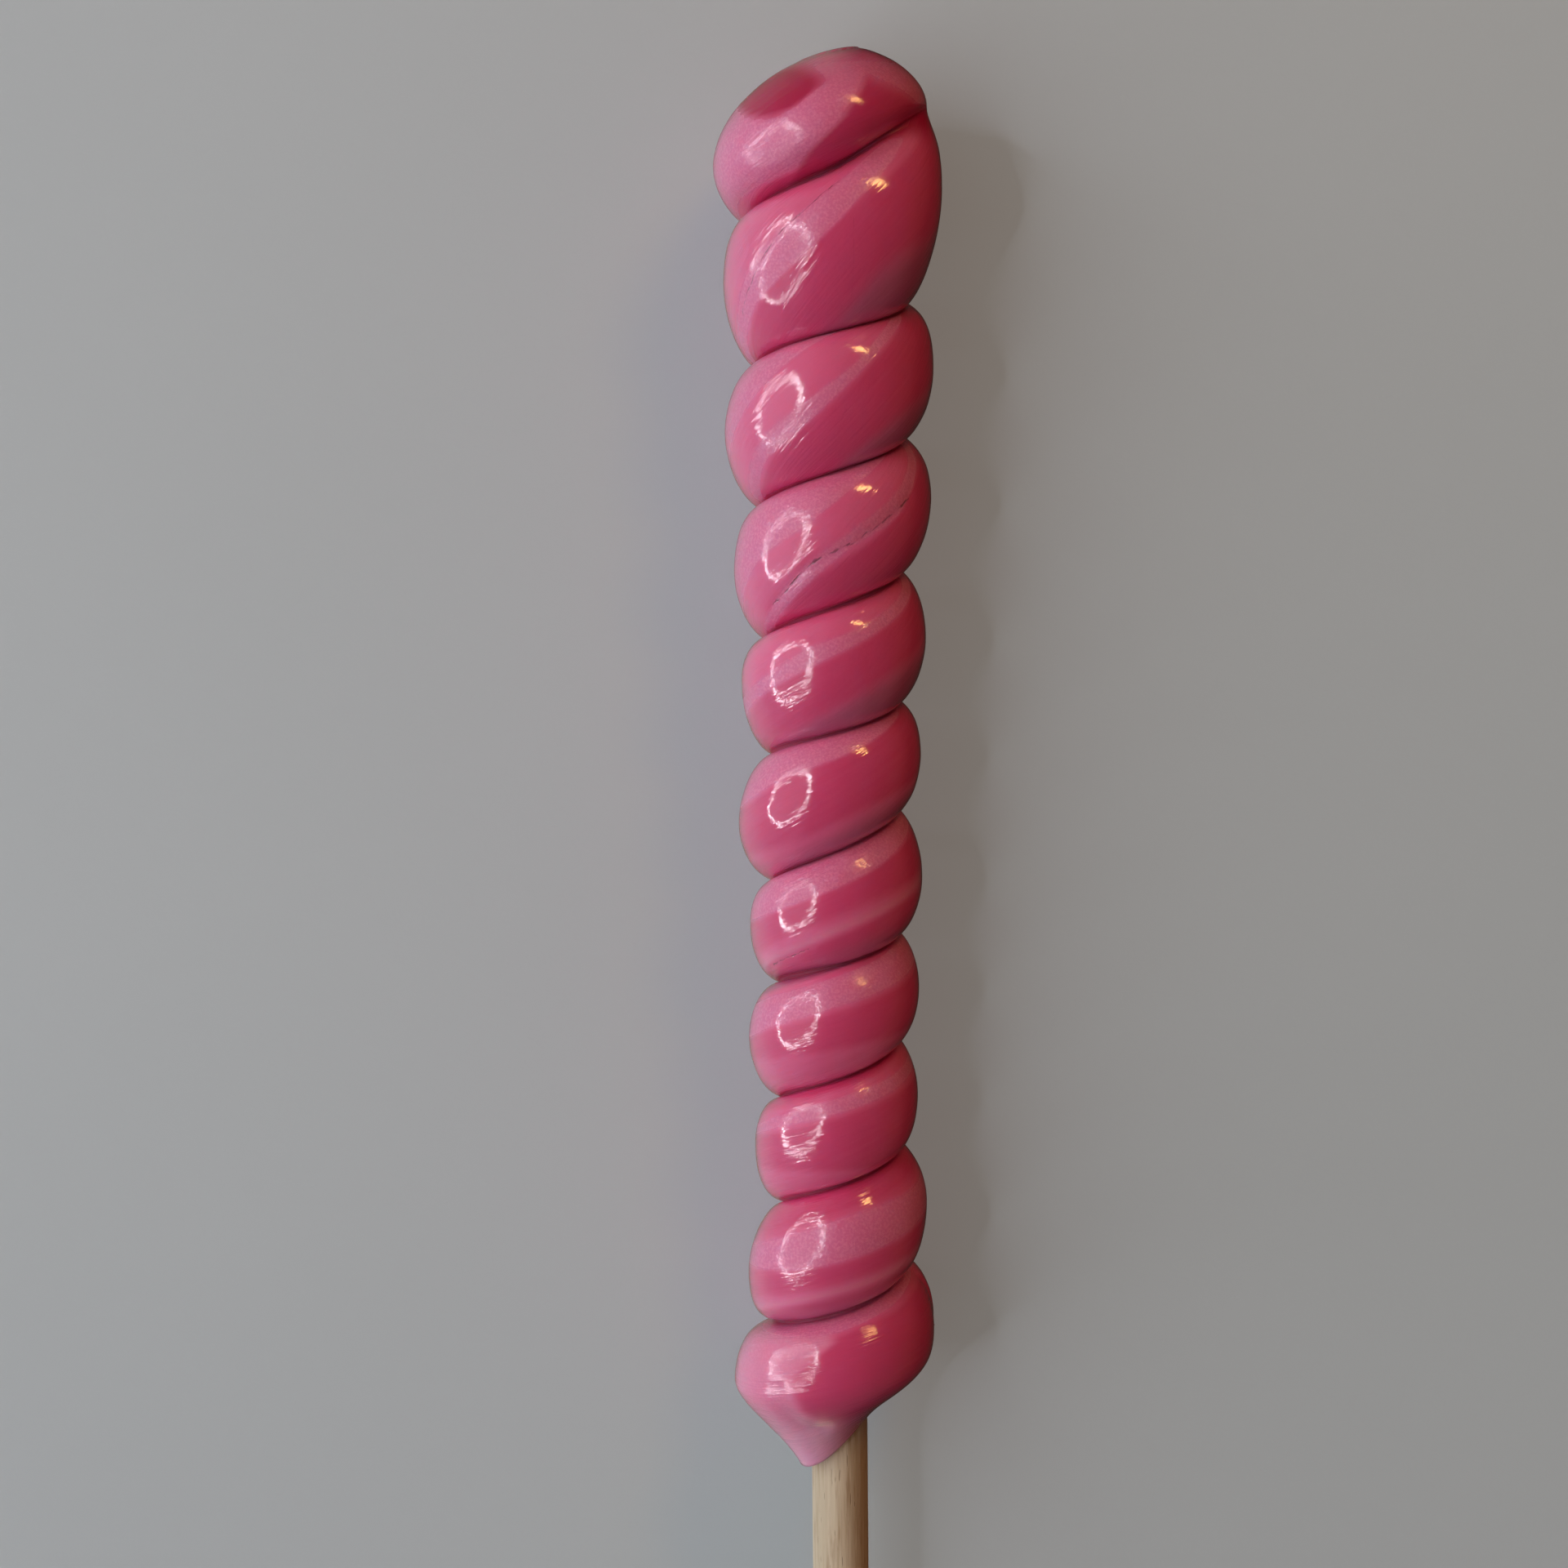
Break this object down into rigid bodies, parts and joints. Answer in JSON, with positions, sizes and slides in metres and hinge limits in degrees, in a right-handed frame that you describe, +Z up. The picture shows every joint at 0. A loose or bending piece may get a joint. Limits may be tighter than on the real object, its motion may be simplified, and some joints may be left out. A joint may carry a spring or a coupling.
{
  "type": "swirl lollipop",
  "caption": "Twist lollipop: a thick rope of pulled pink candy wound round a wooden stick, with a rounded head and a drawn-out tip, lying on its side.",
  "frame": {"origin": "on the surface that the lollipop lies on, under the middle of its box", "axes": "+Y from the stick's bare end to the candy's rounded head, +Z up, out of the shown side"},
  "size_m": [0.0238, 0.264, 0.024],
  "materials": {
    "candy": "gloss",
    "stick": "matte"
  },
  "bodies": {
    "root": {"candy": "candy", "stick": "stick"}
  },
  "joints": []
}
